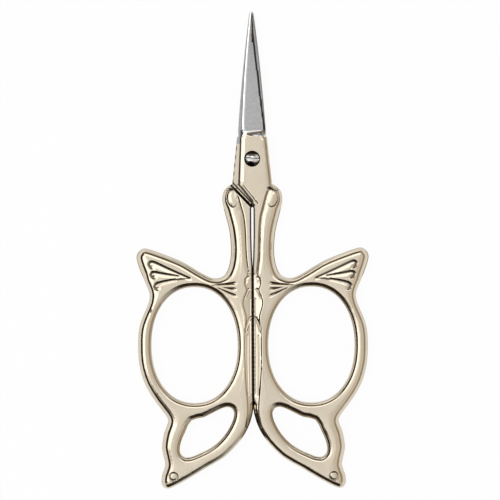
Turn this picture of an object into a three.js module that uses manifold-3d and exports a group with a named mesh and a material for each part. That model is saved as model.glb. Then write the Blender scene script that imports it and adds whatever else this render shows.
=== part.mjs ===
// Butterfly-handled embroidery scissors, closed. Millimetres, +Z up, +Y towards the blade tips.
// The pivot axis is the Z axis and the scissors lie on the plane z = 0.
// Both halves come from one pattern: the back half is the front half turned over about the long axis.

import * as THREE from 'three';
import { mergeVertices } from 'three/addons/utils/BufferGeometryUtils.js';
import Module from 'manifold-3d';

// Thickness and running gaps
const halfThickness = 1.8;
const runningGap = 0.1;
const edgeRound = 1.1;
const rootSink = 0.05;

// Ricasso, the flat block at the pivot, measured from the pivot axis
const ricassoTop = 5.8;
const ricassoBottom = 6.5;
const spineSideTop = 2.75;
const spineSideBottom = 3.2;
const spineSideFoot = 6.9;
const edgeSideTop = 3.9;
const edgeSideBottom = 5.2;

// Blade
const bladeReach = 38.4;
const grindStart = 7.6;
const grindRampDepth = 2.2;
const blendHeight = 0.7;
const edgeInset = 0.3;
const spineInset = 0.2;
const tipWidth = 1;
const tipLead = 0.1;
const tipRound = 0.6;
const tipShare = 0.45;
const spineBelly = 0.42;
const edgeBelly = 0.22;
const spineThickness = 1.72;
const tipThickness = 0.8;
const edgeThickness = 0.3;
const spineChamfer = 0.55;
const chamferShare = 1 / 3;
const chamferDrop = 0.25;
const landShare = 0.1;
const hollowGrind = 0.12;

// Shanks and the seam between the two bows
const seamGap = 0.3;
const slitWidth = 1.1;
const slitTop = 10.9;
const slitBottom = 28;
const channelWidth = 1.85;

// Finger hole, the bar round it and the wings above and below it
const fingerHoleWidth = 22.3;
const fingerHoleHeight = 30;
const fingerHoleTop = 33.4;
const fingerHoleSquareness = 2.15;
const seamBar = 3.95;
const ringBar = 3.65;
const ringFoot = 4.6;
const wingHeight = 10.2;
const tailReach = 8.7;
const tailLength = 22.4;
const budWidth = 2.6;
const budLength = 8.5;
const waistWidth = 5.6;

// Engraved ornament
const bodyWidth = 2.6;
const grooveRadius = 0.34;
const fluteRadius = 0.84;
const fluteDepth = 0.42;
const fanRadius = 0.45;
const fanDepth = 0.32;
const eyeRadius = 0.95;
const eyeGroove = 0.22;
const cutterLift = 0.05;
const fluteSwell = 1.455;

// Pivot screw
const screwRadius = 1.25;
const headRadius = 1.9;
const headEdge = 0.75;
const headDome = 0.4;
const seatClearance = 0.2;
const boreClearance = 0.1;
const seatDepth = 0.7;
const slotWidth = 0.6;
const slotDepth = 0.45;
const slotTurn = THREE.MathUtils.degToRad(-5);

// Facets
const weldDistance = 1e-4;
const outlineSteps = 2;
const edgeSteps = 3;
const fingerHoleSteps = 36;
const bladeStations = 8;
const roundSides = 32;
const domeSteps = 4;
const fluteSides = 10;
const grooveSides = 3;
const eyeSides = 16;
const eyeGrooveSides = 6;

// Places that follow from those sizes
const seamX = seamGap / 2;
const holeX = seamX + seamBar + fingerHoleWidth / 2;
const holeY = -fingerHoleTop - fingerHoleHeight / 2;
const holeFoot = -fingerHoleTop - fingerHoleHeight;
const ringEdge = seamX + seamBar + fingerHoleWidth + ringBar;
const tailEdge = holeX + tailReach;
const innerFace = runningGap / 2;
const budEdge = edgeSideBottom + budWidth;

const wasm = await Module();
wasm.setup();

const at = (x, y) => new THREE.Vector2(x, y);

// A point of the tail, the lower wing: shares of the way out from the seam and down from the ring.
function onTail(out, down) {
  return at(THREE.MathUtils.lerp(seamX, tailEdge, out), holeFoot - down * tailLength);
}

// A point of the upper wing: shares of the way out from the waist to the ring and up from the finger hole.
function onWing(out, up) {
  return at(THREE.MathUtils.lerp(waistWidth, ringEdge, out), up * wingHeight - fingerHoleTop);
}

// A point of the ring's outer side: shares of the bar inwards and of half the finger hole upwards.
function onRing(inwards, up) {
  return at(ringEdge - inwards * ringBar, holeY + (up * fingerHoleHeight) / 2);
}

// A point of the bud below the ricasso: shares of its width inwards and of its length down.
function onBud(inwards, down) {
  return at(budEdge - inwards * budWidth, -ricassoBottom - down * budLength);
}

// A point of the butterfly's body: shares of its width out from the seam and of the finger hole down.
function onBody(out, down) {
  return at(seamX + out * bodyWidth, -fingerHoleTop - down * fingerHoleHeight);
}

// A closed solid from a three.js geometry, ready to be joined or cut.
function solid(geometry) {
  const bare = geometry.clone();
  bare.deleteAttribute('normal');
  bare.deleteAttribute('uv');
  const merged = mergeVertices(bare, weldDistance);
  const vertProperties = new Float32Array(merged.attributes.position.array);
  const triVerts = new Uint32Array(merged.index.array);
  return new wasm.Manifold(new wasm.Mesh({ numProp: 3, vertProperties, triVerts }));
}

function geometryOf(body) {
  const { vertProperties, triVerts } = body.getMesh();
  const geometry = new THREE.BufferGeometry();
  geometry.setAttribute('position', new THREE.BufferAttribute(vertProperties, 3));
  geometry.setIndex(new THREE.BufferAttribute(triVerts, 1));
  geometry.computeVertexNormals();
  return geometry;
}

// A smooth line through a few points.
function smooth(points) {
  return new THREE.SplineCurve(points).getPoints((points.length - 1) * outlineSteps);
}

// One point of a rounded oval about the finger hole's middle, at an angle in degrees from +X.
function ovalPoint(halfWidth, halfHeight, degrees) {
  const angle = THREE.MathUtils.degToRad(degrees);
  const power = 2 / fingerHoleSquareness;
  const x = Math.sign(Math.cos(angle)) * Math.abs(Math.cos(angle)) ** power;
  const y = Math.sign(Math.sin(angle)) * Math.abs(Math.sin(angle)) ** power;
  return at(holeX + halfWidth * x, holeY + halfHeight * y);
}

function fingerHole() {
  const points = [];
  for (let i = 0; i < fingerHoleSteps; i += 1) {
    points.push(ovalPoint(fingerHoleWidth / 2, fingerHoleHeight / 2, (360 * i) / fingerHoleSteps));
  }
  return points;
}

// The opening in the lower wing, between the ring and the tail.
function wingHole() {
  const points = [
    onTail(0.2101, 0.1339),
    onTail(0.2395, 0.0714),
    onTail(0.3025, 0.0625),
    onTail(0.4118, 0.1116),
    onTail(0.5336, 0.1741),
    onTail(0.6639, 0.2098),
    onTail(0.7269, 0.3304),
    onTail(0.7815, 0.4732),
    onTail(0.7857, 0.5759),
    onTail(0.7269, 0.6339),
    onTail(0.5924, 0.5938),
    onTail(0.4328, 0.5045),
    onTail(0.3193, 0.3884),
    onTail(0.2395, 0.25),
  ];
  const raised = points.map((p) => new THREE.Vector3(p.x, p.y, 0));
  const loop = new THREE.CatmullRomCurve3(raised, true).getPoints(points.length * outlineSteps);
  return loop.slice(0, -1).map((p) => at(p.x, p.y));
}

// Outline of one half without its blade, anticlockwise from the foot of the seam.
function halfOutline() {
  const curvedEdge = smooth([
    onTail(0, 0.1161),
    onTail(0.0336, 0.25),
    onTail(0.1261, 0.4286),
    onTail(0.3067, 0.6295),
    onTail(0.5084, 0.7589),
    onTail(0.7185, 0.8929),
    onTail(0.9244, 1),
    onTail(1, 0.9554),
    onTail(0.9958, 0.8438),
    onTail(0.9622, 0.7232),
    onTail(0.9958, 0.5357),
    onTail(0.9706, 0.3527),
    onTail(0.9286, 0.2187),
    onTail(0.9706, 0.125),
    ovalPoint(fingerHoleWidth / 2 + ringBar, fingerHoleHeight / 2 + ringFoot, -47),
    ovalPoint(fingerHoleWidth / 2 + ringBar, fingerHoleHeight / 2 + ringFoot, -30),
    ovalPoint(fingerHoleWidth / 2 + ringBar, fingerHoleHeight / 2 + ringFoot, -12),
    onRing(0.0411, 0.1667),
    onRing(0.274, 0.4333),
    onRing(0.7123, 0.6867),
    onRing(0.863, 0.8733),
    onWing(0.9182, 0.1275),
    onWing(0.9775, 0.4804),
    onWing(1.0082, 0.7647),
    onWing(0.9816, 0.9216),
    onWing(0.9182, 1),
    onWing(0.7464, 0.8725),
    onWing(0.5256, 0.6569),
    onWing(0.3661, 0.4314),
    onWing(0.2229, 0.25),
    onWing(0.1227, 0.2402),
    onWing(0.0532, 0.3627),
    onWing(0.0143, 0.6176),
    onWing(0, 0.9706),
    onWing(0.0164, 1.4314),
    onBud(0.3462, 1),
    onBud(0.0385, 0.6118),
    onBud(0, 0.4),
    onBud(0.1923, 0.2),
    onBud(0.6154, 0.0706),
    at(edgeSideBottom, -ricassoBottom),
  ]);
  return [
    ...curvedEdge,
    at(edgeSideTop, ricassoTop),
    at(-spineSideTop, ricassoTop),
    at(-spineSideBottom, -spineSideFoot),
    at(slitWidth / 2, -slitTop),
    at(seamX, -slitBottom),
  ];
}

// The cast plate of the ricasso, shank and bow, with every edge rounded.
function plate() {
  const shape = new THREE.Shape(halfOutline());
  shape.holes.push(new THREE.Path(fingerHole()), new THREE.Path(wingHole()));
  const geometry = new THREE.ExtrudeGeometry(shape, {
    depth: 2 * (halfThickness - edgeRound),
    bevelThickness: edgeRound,
    bevelSize: edgeRound,
    bevelOffset: -edgeRound,
    bevelSegments: edgeSteps,
  });
  geometry.translate(0, 0, edgeRound - halfThickness);
  return solid(geometry);
}

// The space that the other half's ricasso swings in: everything behind the joint plane above a slanted step,
// which runs parallel to the slanted foot of the ricasso at the width of the channel between them.
function jointStep() {
  const corner = at(spineSideBottom, -spineSideFoot);
  const foot = at(-slitWidth / 2, -slitTop);
  const along = corner.clone().sub(foot).normalize();
  const away = at(along.y, -along.x).multiplyScalar(channelWidth);
  const low = foot.clone().add(away).addScaledVector(along, -budEdge);
  const high = corner.clone().add(away).addScaledVector(along, budEdge);
  const shape = new THREE.Shape([
    low,
    high,
    at(high.x, bladeReach),
    at(-high.x, bladeReach),
    at(-high.x, low.y),
  ]);
  const geometry = new THREE.ExtrudeGeometry(shape, { depth: 2 * halfThickness, bevelEnabled: false });
  geometry.translate(0, 0, innerFace - 2 * halfThickness);
  return solid(geometry);
}

// A solid skinned over a row of like sections, each a ring of points.
function loft(sections) {
  const size = sections[0].length;
  const positions = sections.flat().flatMap((p) => [p.x, p.y, p.z]);
  const index = [];
  for (let s = 0; s + 1 < sections.length; s += 1) {
    for (let i = 0; i < size; i += 1) {
      const a = s * size + i;
      const b = s * size + ((i + 1) % size);
      index.push(a, b + size, b, a, a + size, b + size);
    }
  }
  const last = (sections.length - 1) * size;
  for (let i = 1; i + 1 < size; i += 1) {
    index.push(0, i, i + 1);
    index.push(last, last + i + 1, last + i);
  }
  const geometry = new THREE.BufferGeometry();
  geometry.setAttribute('position', new THREE.Float32BufferAttribute(positions, 3));
  geometry.setIndex(index);
  return geometry;
}

// One cross-section of the blade: flat inner face with a hollow, outer face with a bevel along each edge.
// A bevel is a width across the face and a drop below it; the ground face of the blade is one wide bevel.
function bladeSection(y, spine, edge, height, spineBevel, edgeBevel, hollow) {
  return [
    new THREE.Vector3(edge, y, innerFace),
    new THREE.Vector3(edge, y, innerFace + height - edgeBevel.drop),
    new THREE.Vector3(edge - edgeBevel.width, y, innerFace + height),
    new THREE.Vector3(spine + spineBevel.width, y, innerFace + height),
    new THREE.Vector3(spine, y, innerFace + height - spineBevel.drop),
    new THREE.Vector3(spine, y, innerFace),
    new THREE.Vector3((spine + edge) / 2, y, innerFace + hollow),
  ];
}

// The blade, from its root inside the ricasso over the ramp that the grinding wheel leaves, to the rounded tip.
function blade() {
  const rootSpine = spineInset - spineSideTop;
  const rootEdge = edgeSideTop - edgeInset;
  const rootHeight = halfThickness - innerFace - rootSink;
  const rootBevel = { width: edgeRound, drop: edgeRound };
  const rampBevel = { width: grindRampDepth, drop: rootHeight - blendHeight };
  const sections = [
    bladeSection(0, rootSpine, rootEdge, rootHeight, rootBevel, rootBevel, 0),
    bladeSection(grindStart - grindRampDepth, rootSpine, rootEdge, rootHeight, rootBevel, rootBevel, 0),
    bladeSection(grindStart - grindRampDepth / 2, rootSpine, rootEdge, rootHeight, rootBevel, rampBevel, 0),
  ];
  for (let i = 0; i <= bladeStations; i += 1) {
    const t = i / bladeStations;
    const bulge = 4 * t * (1 - t);
    const spine = THREE.MathUtils.lerp(rootSpine, tipLead - tipWidth / 2, t) - spineBelly * bulge;
    const edge = THREE.MathUtils.lerp(rootEdge, tipLead + tipWidth / 2, t) + edgeBelly * bulge;
    const height = THREE.MathUtils.lerp(spineThickness, tipThickness, t);
    const chamfer = Math.min(spineChamfer, chamferShare * (edge - spine));
    const land = landShare * (edge - spine);
    const grind = { width: edge - spine - chamfer - land, drop: height - edgeThickness };
    const spineBevel = { width: chamfer, drop: chamferDrop };
    const y = THREE.MathUtils.lerp(grindStart, bladeReach - tipRound, t);
    sections.push(bladeSection(y, spine, edge, height, spineBevel, grind, hollowGrind * (1 - t)));
  }
  sections.push(sections.at(-1).map((p) => new THREE.Vector3(p.x * tipShare, bladeReach, p.z)));
  return solid(loft(sections));
}

// A teardrop cutter that lies along a face, from its point to its round end.
// The swell brings its widest place to the radius.
function teardrop(from, to, radius, depth, level) {
  const length = from.distanceTo(to);
  const shares = [0, 0.5, 0.72, 0.86, 0.96, 1];
  const profile = shares.map((u) => at(fluteSwell * radius * u * Math.sqrt(1 - u ** 6), u * length));
  const geometry = new THREE.LatheGeometry(profile, fluteSides);
  geometry.scale(1, 1, depth / radius);
  geometry.rotateZ(Math.atan2(to.y - from.y, to.x - from.x) - Math.PI / 2);
  geometry.translate(from.x, from.y, level);
  return solid(geometry);
}

// A round-bottomed groove cutter along a smooth line on a face.
function groove(points, radius, level) {
  const path = new THREE.CatmullRomCurve3(points.map((p) => new THREE.Vector3(p.x, p.y, level)));
  const section = new THREE.Shape();
  section.absarc(0, 0, radius, 0, 2 * Math.PI);
  const geometry = new THREE.ExtrudeGeometry(section, {
    steps: points.length * outlineSteps,
    extrudePath: path,
    curveSegments: grooveSides,
    bevelEnabled: false,
  });
  return solid(geometry);
}

// The engraved lines and flutes on one face of the bow. The cutters' middles lie just outside the face.
function ornament(face) {
  const level = face + Math.sign(face) * cutterLift;
  const flutes = [
    [onWing(0.4438, 0.2255), onWing(0.8732, 0.598), fluteRadius],
    [onWing(0.5828, 0.2745), onWing(0.8609, 0.3235), 0.88 * fluteRadius],
    [onWing(0.6033, 0.1863), onWing(0.82, -0.0098), 0.714 * fluteRadius],
  ];
  const fan = [
    [onWing(0.2045, 0.0588), onWing(-0.045, 0.1127)],
    [onWing(0.0818, 0), onWing(-0.045, -0.0441)],
    [onWing(0.1391, -0.0098), onWing(-0.0491, -0.2206)],
  ];
  const bodyLine = [
    onBud(1.1154, 0.9176),
    onBody(1.25, -0.4667),
    onBody(1.0192, -0.2167),
    onBody(0.5, -0.08),
    onBody(0.8846, -0.0333),
    onBody(0.5769, 0.0233),
    onBody(1, 0.1267),
    onBody(0.7308, 0.2633),
    onBody(0.8462, 0.42),
    onBody(0.8077, 0.7667),
    onBody(0.6538, 1.0067),
  ];
  const budLine = [
    onBud(1.1154, 0.2353),
    onBud(1.1538, 0.4941),
    onBud(0.8462, 0.6941),
    onBud(0.4231, 0.6588),
  ];
  const eye = new THREE.TorusGeometry(eyeRadius, eyeGroove, eyeGrooveSides, eyeSides);
  const eyePlace = onTail(0.8697, 0.8571);
  eye.translate(eyePlace.x, eyePlace.y, level);
  return [
    ...flutes.map(([from, to, radius]) => teardrop(from, to, radius, fluteDepth, level)),
    ...fan.map(([from, to]) => teardrop(from, to, fanRadius, fanDepth, level)),
    groove(bodyLine, grooveRadius, level),
    groove(budLine, grooveRadius, level),
    solid(eye),
  ];
}

function pivotCylinder(radius, from, to) {
  const geometry = new THREE.CylinderGeometry(radius, radius, to - from, roundSides);
  geometry.rotateX(Math.PI / 2);
  geometry.translate(0, 0, (from + to) / 2);
  return solid(geometry);
}

// One half of the scissors, joint plane at z = 0 and outer face up; only the front one has a seat for the head.
function half(hasSeat) {
  let body = plate().subtract(jointStep()).add(blade());
  for (const cutter of [...ornament(halfThickness), ...ornament(-halfThickness)]) {
    body = body.subtract(cutter);
  }
  body = body.subtract(pivotCylinder(screwRadius + boreClearance, -2 * halfThickness, 2 * halfThickness));
  if (hasSeat) {
    const seatFloor = halfThickness - seatDepth;
    body = body.subtract(pivotCylinder(headRadius + seatClearance, seatFloor, 2 * halfThickness));
  }
  return geometryOf(body);
}

// The screw: end flush with the back, shoulder through both halves, slotted domed head in its seat.
function pivotScrew() {
  const headFoot = halfThickness - seatDepth + runningGap;
  const domeFoot = headFoot + headEdge;
  const profile = [
    at(0, -halfThickness),
    at(screwRadius, -halfThickness),
    at(screwRadius, headFoot),
    at(headRadius, headFoot),
  ];
  for (let i = 0; i < domeSteps; i += 1) {
    const rise = (i / domeSteps) * (Math.PI / 2);
    profile.push(at(headRadius * Math.cos(rise), domeFoot + headDome * Math.sin(rise)));
  }
  profile.push(at(0, domeFoot + headDome));
  const turned = new THREE.LatheGeometry(profile, roundSides);
  turned.rotateX(Math.PI / 2);
  const slot = new THREE.BoxGeometry(4 * headRadius, slotWidth, 2 * slotDepth);
  slot.rotateZ(slotTurn);
  slot.translate(0, 0, domeFoot + headDome);
  return geometryOf(solid(turned).subtract(solid(slot)));
}

function piece(name, geometry, finish) {
  const mesh = new THREE.Mesh(geometry, new THREE.MeshStandardMaterial(finish));
  mesh.name = name;
  return mesh;
}

const champagneGold = { color: 0xd8c9ab, metalness: 0.95, roughness: 0.28 };
const brightSteel = { color: 0xc9c7c4, metalness: 1, roughness: 0.2 };

const scissors = new THREE.Group();
scissors.position.z = halfThickness;
const frontHalf = piece('front_half', half(true), champagneGold);
const backHalf = piece('back_half', half(false), champagneGold);
backHalf.rotation.y = Math.PI;
scissors.add(frontHalf, backHalf, piece('pivot_screw', pivotScrew(), brightSteel));

export default scissors;
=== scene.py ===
"""Butterfly-handled embroidery scissors, dressed for the photograph. Meshes are worked out in millimetres in
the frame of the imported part, with +Y towards the blade tips, and are scaled to metres when they are made."""

import math
from collections import namedtuple

import bpy
import numpy as np
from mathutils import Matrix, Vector, kdtree
from mathutils.geometry import delaunay_2d_cdt


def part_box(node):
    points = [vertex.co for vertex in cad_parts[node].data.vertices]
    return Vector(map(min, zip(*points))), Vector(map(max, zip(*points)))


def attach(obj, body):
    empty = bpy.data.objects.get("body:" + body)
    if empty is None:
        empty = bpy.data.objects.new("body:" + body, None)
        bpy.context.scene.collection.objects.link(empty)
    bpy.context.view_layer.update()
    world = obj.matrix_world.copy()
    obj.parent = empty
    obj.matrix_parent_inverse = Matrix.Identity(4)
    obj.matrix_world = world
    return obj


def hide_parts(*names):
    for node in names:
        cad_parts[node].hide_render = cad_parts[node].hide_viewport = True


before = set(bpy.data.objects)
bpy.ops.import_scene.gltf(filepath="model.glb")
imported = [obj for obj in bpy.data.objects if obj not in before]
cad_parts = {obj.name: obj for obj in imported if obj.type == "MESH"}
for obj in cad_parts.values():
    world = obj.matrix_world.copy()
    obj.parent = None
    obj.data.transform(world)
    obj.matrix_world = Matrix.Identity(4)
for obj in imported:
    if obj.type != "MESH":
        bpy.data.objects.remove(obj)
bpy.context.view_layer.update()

# The two halves: their plan
# Each half is one drop forging: blade, ricasso (the flat block at the pivot), shank and pierced bow.
# Its outline and openings are taken from the solid, where the upright walls end below the rounded edges.
MM = 0.001
half_low, half_high = (np.array(corner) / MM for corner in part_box("front_half"))
middle_z = (half_low[2] + half_high[2]) / 2
half_thick = (half_high[2] - half_low[2]) / 2
SAME_PLACE, UPRIGHT = 0.002, 0.05
SHARP_CORNER = math.radians(33)


def wall_rims(node):
    """Chains of plan points along the upper ends of the node's upright walls, longest first."""
    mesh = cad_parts[node].data
    corners = np.array([vertex.co for vertex in mesh.vertices]) / MM
    welded, index = np.unique(np.round(corners, 3), axis=0, return_inverse=True)
    upright = [face for face in mesh.polygons if abs(face.normal.z) < UPRIGHT]
    tops = [max(welded[index[i]][2] for i in face.vertices) for face in upright]
    level = np.median(tops)
    joined = {}
    for face in upright:
        ring = [int(index[i]) for i in face.vertices]
        for a, b in zip(ring, ring[1:] + ring[:1]):
            if max(abs(welded[a][2] - level), abs(welded[b][2] - level)) < SAME_PLACE:
                joined.setdefault(a, set()).add(b)
                joined.setdefault(b, set()).add(a)
    chains = []
    while joined:
        start = min(joined, key=lambda i: (len(joined[i]), i))
        chain = [start]
        while chain[-1] in joined:
            following = joined.pop(chain[-1]) - set(chain)
            following = [i for i in following if i in joined]
            if not following:
                break
            chain.append(min(following))
        chains.append(welded[chain][:, :2])
    return sorted(chains, key=len, reverse=True)


def unit(vectors):
    return vectors / np.linalg.norm(vectors, axis=-1, keepdims=True)


def flowing(points, spacing, closed, corner=SHARP_CORNER):
    """A smooth line through a few points, cornered only where it turns sharply."""
    points = np.asarray(points, float)
    after = np.roll(points, -1, axis=0) - points
    if not closed:
        after[-1] = after[-2]
    before = np.roll(after, 1, axis=0)
    if not closed:
        before[0] = after[0]
    along_after, along_before = unit(after), unit(before)
    turn = np.arccos(np.clip((along_after * along_before).sum(1), -1, 1))
    weights = [(step * step).sum(1, keepdims=True) for step in (after, before)]
    tangent = unit(along_after * weights[0] + along_before * weights[1])
    cornered = (turn > corner)[:, None]
    leave = np.where(cornered, along_after, tangent)
    arrive = np.where(cornered, along_before, tangent)
    line = []
    for i in range(len(points) if closed else len(points) - 1):
        j = (i + 1) % len(points)
        length = np.linalg.norm(points[j] - points[i])
        t = np.linspace(0, 1, max(1, math.ceil(length / spacing)), endpoint=False)[:, None]
        line.append(
            (2 * t**3 - 3 * t**2 + 1) * points[i]
            + (t**3 - 2 * t**2 + t) * leave[i] * length
            + (3 * t**2 - 2 * t**3) * points[j]
            + (t**3 - t**2) * arrive[j] * length
        )
    if not closed:
        line.append(points[-1:])
    return np.concatenate(line)


# The blade's plan: a straight ricasso end, a slightly bellied spine and cutting edge, and a rounded tip.
BLADE_ROOT, BLADE_TIP = 7.6, half_high[1]
SPINE_ROOT, SPINE_TIP, SPINE_BELLY = -2.55, -0.4, 0.3
EDGE_ROOT, EDGE_TIP, EDGE_BELLY = 3.6, 0.6, 0.22
TIP_ROUND, TIP_SHARE = 0.6, 0.45
STATION, TIP_STATIONS = 0.4, 6


def ramp(value, start, end):
    """0 before the start, 1 past the end, and an even rise between them."""
    return np.clip((value - start) / (end - start), 0, 1)


def blade_share(y):
    return ramp(y, BLADE_ROOT, BLADE_TIP - TIP_ROUND)


def tip_width(y):
    return 1 - (1 - TIP_SHARE) * ramp(y, BLADE_TIP - TIP_ROUND, BLADE_TIP) ** 2


def spine_at(y):
    t = blade_share(y)
    return tip_width(y) * (SPINE_ROOT + (SPINE_TIP - SPINE_ROOT) * t - SPINE_BELLY * 4 * t * (1 - t))


def edge_at(y):
    t = blade_share(y)
    return tip_width(y) * (EDGE_ROOT + (EDGE_TIP - EDGE_ROOT) * t + EDGE_BELLY * 4 * t * (1 - t))


stations = np.linspace(BLADE_ROOT, BLADE_TIP - TIP_ROUND, math.ceil((BLADE_TIP - BLADE_ROOT) / STATION))
stations = np.append(stations, np.linspace(BLADE_TIP - TIP_ROUND, BLADE_TIP, TIP_STATIONS)[1:])
RIM_SPACING = 0.18
rim_chain, finger_chain, wing_chain = wall_rims("front_half")[:3]
if rim_chain[0, 0] > rim_chain[-1, 0]:
    rim_chain = rim_chain[::-1]
# The solids keep a running gap along the seam. Here the slanted foot of the ricasso is drawn out to the
# seam, the halves meet below it, part again at the slit and nearly meet down to the tails.
RICASSO_FOOT, SEAM_FOOT, SEAM_SIDE = -6.9, -66.0, 0.6
FOOT_HEEL, FOOT_TOE = np.array([-3.2, RICASSO_FOOT]), np.array([0.8, -12.0])
SEAM_NEAR = 0.002
SLIT_DEPTHS, SLIT_GAPS = [12.5, 12.8, 20.0, 25.5, 28.0], [SEAM_NEAR, 0.3, 0.29, 0.15, SEAM_NEAR]
SLIT_TOP = FOOT_HEEL[1] + (FOOT_TOE[1] - FOOT_HEEL[1]) * FOOT_HEEL[0] / (FOOT_HEEL[0] - FOOT_TOE[0])
SOLID_TOE = np.array([0.55, -10.9])
EASE_ABOVE_SLIT, EASE_BELOW_SLIT, TAIL_EASE = 0.1, 0.05, 0.8
rim_chain[np.linalg.norm(rim_chain - SOLID_TOE, axis=1).argmin()] = SEAM_NEAR, SLIT_TOP
bow_rim = np.clip(flowing(rim_chain, RIM_SPACING, closed=False), rim_chain.min(0), rim_chain.max(0))
rim_y = bow_rim[:, 1]
below_slit = ramp(rim_y, SLIT_TOP + EASE_ABOVE_SLIT, SLIT_TOP - EASE_BELOW_SLIT)
above_tail = ramp(rim_y, SEAM_FOOT, SEAM_FOOT + TAIL_EASE)
on_seam = np.minimum(below_slit, above_tail) * (bow_rim[:, 0] < SEAM_SIDE)
slit_wall = np.interp(-rim_y, SLIT_DEPTHS, SLIT_GAPS)
bow_rim[:, 0] += on_seam * (slit_wall - bow_rim[:, 0])
blade_rim = np.concatenate(
    [
        np.column_stack([edge_at(stations), stations]),
        np.column_stack([spine_at(stations), stations])[::-1],
    ]
)
half_rim = np.concatenate([bow_rim, blade_rim])
FINGER_GROWTH, FINGER_SHIFT = 0.01, (0, -0.08)
WING_GROWTH, WING_SHIFT = 0.028, (0.08, -0.08)


def opened(chain, growth, shift):
    """A hole's smooth rim, a little wider than in the solid and moved aside, as the photograph shows it."""
    rim = flowing(chain, RIM_SPACING, closed=True)
    return rim.mean(0) + (1 + growth) * (rim - rim.mean(0)) + shift


finger_rim = opened(finger_chain, FINGER_GROWTH, FINGER_SHIFT)
wing_rim = opened(wing_chain, WING_GROWTH, WING_SHIFT)
half_loops = [half_rim, finger_rim, wing_rim]


def facing_in(loop, is_hole):
    """Unit normals of a closed loop that point into the metal."""
    across = np.roll(loop, -1, axis=0) - np.roll(loop, 1, axis=0)
    area = (loop[:, 0] * np.roll(loop[:, 1], -1) - np.roll(loop[:, 0], -1) * loop[:, 1]).sum()
    side = 1 if (area > 0) != is_hole else -1
    return side * unit(np.column_stack([-across[:, 1], across[:, 0]]))


# The two halves: their edges
# The dies strike a wide soft bevel along the outer edges of the wings and shanks, and a narrower one round
# the holes. The seam and the slanted foot of the ricasso are only broken round, and the spine is chamfered.
# A form is the bevel's width, slope and soft crease, the round below it and its drop, the crown, and the
# painted shade laid along the edge.
EdgeForm = namedtuple("EdgeForm", "bevel slope softness round drop crown dirt")
BEVEL = 1.07
OUTER_EDGE = EdgeForm(bevel=1.0, slope=BEVEL, softness=0.3, round=0.3, drop=0.2, crown=1.0, dirt=0.3)
OUTER_FOOT_EDGE = EdgeForm(bevel=1.1, slope=BEVEL, softness=0.27, round=0.3, drop=0.2, crown=1.0, dirt=0.2)
SHANK_EDGE = EdgeForm(bevel=1.36, slope=BEVEL, softness=0.31, round=0.3, drop=0.2, crown=1.0, dirt=0.2)
HOLE_EDGE = EdgeForm(bevel=0.7, slope=BEVEL, softness=0.21, round=0.12, drop=0.1, crown=0.9, dirt=0.15)
HOLE_TOP_EDGE = EdgeForm(bevel=0.68, slope=BEVEL, softness=0.25, round=0.12, drop=0.1, crown=0.9, dirt=0.4)
SEAM_EDGE = EdgeForm(bevel=0.0, slope=0.0, softness=0.1, round=0.1, drop=0.1, crown=0.3, dirt=1.0)
TAIL_EDGE = EdgeForm(bevel=0.6, slope=BEVEL, softness=0.2, round=0.2, drop=0.15, crown=0.8, dirt=0.2)
TAIL_SIDE_EDGE = EdgeForm(bevel=1.25, slope=BEVEL, softness=0.31, round=0.3, drop=0.2, crown=1.0, dirt=0.2)
TAIL_TOP_EDGE = EdgeForm(bevel=0.95, slope=0.62, softness=0.12, round=0.2, drop=0.15, crown=0.8, dirt=0.9)
FOOT_EDGE = EdgeForm(bevel=0.0, slope=0.0, softness=0.1, round=0.3, drop=0.3, crown=0.0, dirt=0.75)
SPINE_EDGE = EdgeForm(bevel=0.9, slope=0.27, softness=0.03, round=0.08, drop=0.06, crown=0.0, dirt=0.0)
RICASSO_EDGE = EdgeForm(bevel=0.8, slope=BEVEL, softness=0.24, round=0.12, drop=0.1, crown=0.0, dirt=0.1)
CROWN, CROWN_REACH, CREASE_REACH = 0.28, 1.5, 3
# Where each form is found: heights on the half, and how far the edge faces out to a side.
BUD_FOOT, SHANK_FOOT, TAIL_SIDE_TOP, TAIL_TOP = -12.5, -31.0, -68.0, SEAM_FOOT + 3
HOLE_TOP_FACING, OUTER_FOOT_FACING = (0.2, -0.2), (-0.1, -0.4333)
SHANK_FACING, TAIL_SIDE_FACING, TAIL_FACING, TAIL_TOP_FACING = 0.7, 0.5, 0.25, -0.8
TAIL_POINTS = np.array([-0.6, -0.8])
FORM_EASE = 5


def edge_forms(loop, inward, is_hole):
    """The form of the worked edge at each point of a loop, eased where one form passes into the next."""
    x, y = loop.T
    out = -inward
    out_x, out_y = out.T
    form = np.tile(HOLE_EDGE if is_hole else OUTER_EDGE, (len(loop), 1))
    if is_hole:
        form += ramp(out_y, *HOLE_TOP_FACING)[:, None] * (HOLE_TOP_EDGE - form)
    else:
        seam_side = x < SEAM_SIDE
        form += ramp(out_y, *OUTER_FOOT_FACING)[:, None] * (OUTER_FOOT_EDGE - form)
        form[(y > SHANK_FOOT) & (y < BUD_FOOT) & ~seam_side & (out_x > SHANK_FACING)] = SHANK_EDGE
        form[(y < TAIL_SIDE_TOP) & (out_x > TAIL_SIDE_FACING)] = TAIL_SIDE_EDGE
        form[(y > RICASSO_FOOT) & (x > 0)] = RICASSO_EDGE
        form[(y > RICASSO_FOOT) & (x < 0)] = SPINE_EDGE
        form[(y > SLIT_TOP) & (y <= RICASSO_FOOT) & seam_side] = FOOT_EDGE
        form[(y <= SLIT_TOP) & seam_side] = SEAM_EDGE
        form[(y < SEAM_FOOT) & (out @ TAIL_POINTS > TAIL_FACING)] = TAIL_EDGE
        form[(y < TAIL_TOP) & (out_x < TAIL_TOP_FACING)] = TAIL_TOP_EDGE
    padded = np.concatenate([form[-FORM_EASE:], form, form[:FORM_EASE]])
    return np.mean([padded[i : i + len(form)] for i in range(2 * FORM_EASE + 1)], axis=0)


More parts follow.
